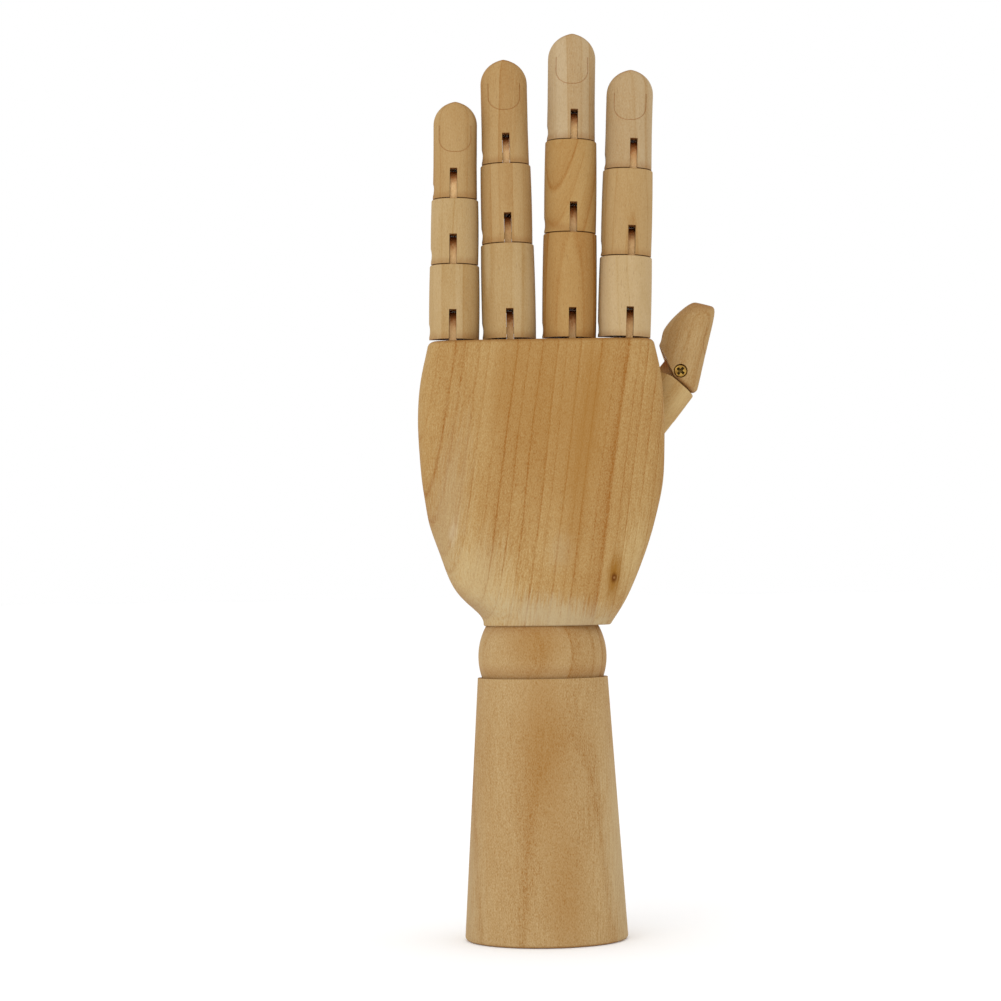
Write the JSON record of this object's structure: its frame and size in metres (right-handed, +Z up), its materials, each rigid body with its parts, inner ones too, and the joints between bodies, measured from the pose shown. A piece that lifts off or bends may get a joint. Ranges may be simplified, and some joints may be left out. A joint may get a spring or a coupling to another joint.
{
  "type": "wooden hand mannequin",
  "caption": "Jointed wooden left hand on a tapered forearm base; fingers and thumb bend at screwed tongue joints and the sprung ball wrist turns and tilts, as a drawing model.",
  "frame": {"origin": "centre of the base's flat foot, on the axis of the base", "axes": "+Z up along the fingers, +X towards the thumb's side, +Y the way the palm faces"},
  "size_m": [0.1024, 0.0553, 0.3048],
  "materials": {
    "wood": "sanded, unfinished hardwood",
    "tongue_wood": "plain hardwood plate",
    "brass": "plain brass screw",
    "steel": "plain steel wire and bar"
  },
  "bodies": {
    "forearm": {"forearm_base": "wood"},
    "wrist_core": {"spring_anchor_bar": "steel", "wrist_spring": "steel"},
    "ball": {"wrist_ball": "wood"},
    "hand": {"palm": "wood", "palm_screw_eye": "steel", "thumb_base_tongue": "tongue_wood", "little_knuckle_tongue": "tongue_wood", "ring_knuckle_tongue": "tongue_wood", "middle_knuckle_tongue": "tongue_wood", "index_knuckle_tongue": "tongue_wood"},
    "little_proximal": {"little_proximal": "wood", "little_knuckle_screw": "brass", "little_medial_tongue": "tongue_wood"},
    "little_medial": {"little_medial": "wood", "little_medial_screw": "brass", "little_distal_tongue": "tongue_wood"},
    "little_distal": {"little_distal": "wood", "little_distal_screw": "brass"},
    "ring_proximal": {"ring_proximal": "wood", "ring_knuckle_screw": "brass", "ring_medial_tongue": "tongue_wood"},
    "ring_medial": {"ring_medial": "wood", "ring_medial_screw": "brass", "ring_distal_tongue": "tongue_wood"},
    "ring_distal": {"ring_distal": "wood", "ring_distal_screw": "brass"},
    "middle_proximal": {"middle_proximal": "wood", "middle_knuckle_screw": "brass", "middle_medial_tongue": "tongue_wood"},
    "middle_medial": {"middle_medial": "wood", "middle_medial_screw": "brass", "middle_distal_tongue": "tongue_wood"},
    "middle_distal": {"middle_distal": "wood", "middle_distal_screw": "brass"},
    "index_proximal": {"index_proximal": "wood", "index_knuckle_screw": "brass", "index_medial_tongue": "tongue_wood"},
    "index_medial": {"index_medial": "wood", "index_medial_screw": "brass", "index_distal_tongue": "tongue_wood"},
    "index_distal": {"index_distal": "wood", "index_distal_screw": "brass"},
    "thumb_base": {"thumb_base": "wood", "thumb_base_screw": "brass", "thumb_proximal_tongue": "tongue_wood"},
    "thumb_proximal": {"thumb_proximal": "wood", "thumb_proximal_screw": "brass", "thumb_distal_tongue": "tongue_wood"},
    "thumb_distal": {"thumb_distal": "wood", "thumb_distal_screw": "brass"}
  },
  "joints": [
    {"name": "wrist_turn", "type": "hinge", "parent": "forearm", "child": "wrist_core", "pos_m": [0, 0, 0.0955], "axis": [0, 0, 1], "continuous": true},
    {"name": "wrist_bend", "type": "hinge", "parent": "wrist_core", "child": "ball", "pos_m": [0, 0, 0.0955], "axis": [-1, 0, 0], "range_deg": [-30, 30]},
    {"name": "wrist_side", "type": "hinge", "parent": "ball", "child": "hand", "pos_m": [0, 0, 0.0955], "axis": [0, 1, 0], "range_deg": [-25, 25]},
    {"name": "little_knuckle", "type": "hinge", "parent": "hand", "child": "little_proximal", "pos_m": [-0.02813, 0, 0.2059], "axis": [-0.9998, 0, 0.0209], "range_deg": [0, 75]},
    {"name": "little_medial", "type": "hinge", "parent": "little_proximal", "child": "little_medial", "pos_m": [-0.0276, 0, 0.23129], "axis": [-0.9998, 0, 0.0209], "range_deg": [0, 75]},
    {"name": "little_distal", "type": "hinge", "parent": "little_medial", "child": "little_distal", "pos_m": [-0.02713, 0, 0.25349], "axis": [-0.9998, 0, 0.0209], "range_deg": [0, 40]},
    {"name": "ring_knuckle", "type": "hinge", "parent": "hand", "child": "ring_proximal", "pos_m": [-0.00952, 0, 0.2059], "axis": [-1, 0, -0.007], "range_deg": [0, 75]},
    {"name": "ring_medial", "type": "hinge", "parent": "ring_proximal", "child": "ring_medial", "pos_m": [-0.00975, 0, 0.2381], "axis": [-1, 0, -0.007], "range_deg": [0, 75]},
    {"name": "ring_distal", "type": "hinge", "parent": "ring_medial", "child": "ring_distal", "pos_m": [-0.00993, 0, 0.2649], "axis": [-1, 0, -0.007], "range_deg": [0, 40]},
    {"name": "middle_knuckle", "type": "hinge", "parent": "hand", "child": "middle_proximal", "pos_m": [0.01078, 0, 0.2059], "axis": [-0.9997, 0, 0.0244], "range_deg": [0, 75]},
    {"name": "middle_medial", "type": "hinge", "parent": "middle_proximal", "child": "middle_medial", "pos_m": [0.01165, 0, 0.24139], "axis": [-0.9997, 0, 0.0244], "range_deg": [0, 75]},
    {"name": "middle_distal", "type": "hinge", "parent": "middle_medial", "child": "middle_distal", "pos_m": [0.01241, 0, 0.27258], "axis": [-0.9997, 0, 0.0244], "range_deg": [0, 40]},
    {"name": "index_knuckle", "type": "hinge", "parent": "hand", "child": "index_proximal", "pos_m": [0.02943, 0, 0.2059], "axis": [-0.9993, 0, 0.0384], "range_deg": [0, 75]},
    {"name": "index_medial", "type": "hinge", "parent": "index_proximal", "child": "index_medial", "pos_m": [0.03048, 0, 0.23328], "axis": [-0.9993, 0, 0.0384], "range_deg": [0, 75]},
    {"name": "index_distal", "type": "hinge", "parent": "index_medial", "child": "index_distal", "pos_m": [0.0316, 0, 0.26256], "axis": [-0.9993, 0, 0.0384], "range_deg": [0, 40]},
    {"name": "thumb_base", "type": "hinge", "parent": "hand", "child": "thumb_base", "pos_m": [0.02693, 0.01334, 0.14781], "axis": [0.9659, 0, -0.2588], "range_deg": [-60, 0]},
    {"name": "thumb_proximal", "type": "hinge", "parent": "thumb_base", "child": "thumb_proximal", "pos_m": [0.03486, 0.01894, 0.1741], "axis": [0, 1, 0], "range_deg": [-45, 0]},
    {"name": "thumb_distal", "type": "hinge", "parent": "thumb_proximal", "child": "thumb_distal", "pos_m": [0.04902, 0.01894, 0.19222], "axis": [0, 1, 0], "range_deg": [-40, 0]}
  ]
}
